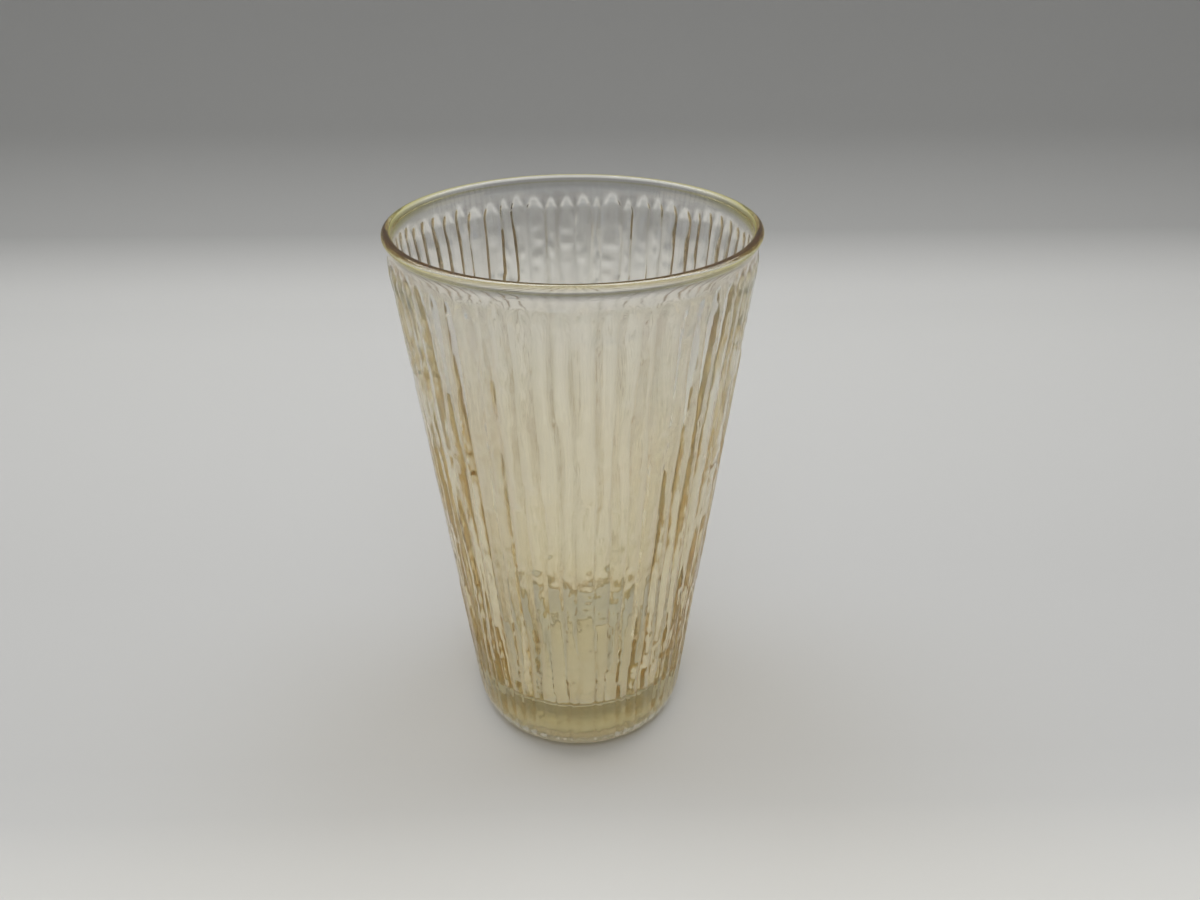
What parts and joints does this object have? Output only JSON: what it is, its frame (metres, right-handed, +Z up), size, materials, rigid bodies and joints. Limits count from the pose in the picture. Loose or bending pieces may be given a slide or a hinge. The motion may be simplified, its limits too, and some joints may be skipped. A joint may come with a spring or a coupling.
{
  "type": "drinking tumbler",
  "caption": "Tall tapered pressed-glass tumbler with a pale marigold lustre, an irregular bark of upright bars outside, a smooth inside, a rounded rim and a thick base.",
  "frame": {"origin": "on the table, under the middle of the foot", "axes": "+Z up the tumbler's axis to the rim; the wall is alike all round, and the picture looks along +Y"},
  "size_m": [0.081, 0.081, 0.133],
  "materials": {
    "lustre_glass": "clear pressed glass with a thin pale marigold lustre fired onto its outside, polished rim and smooth inside"
  },
  "bodies": {
    "root": {"tumbler": "lustre_glass"}
  },
  "joints": []
}
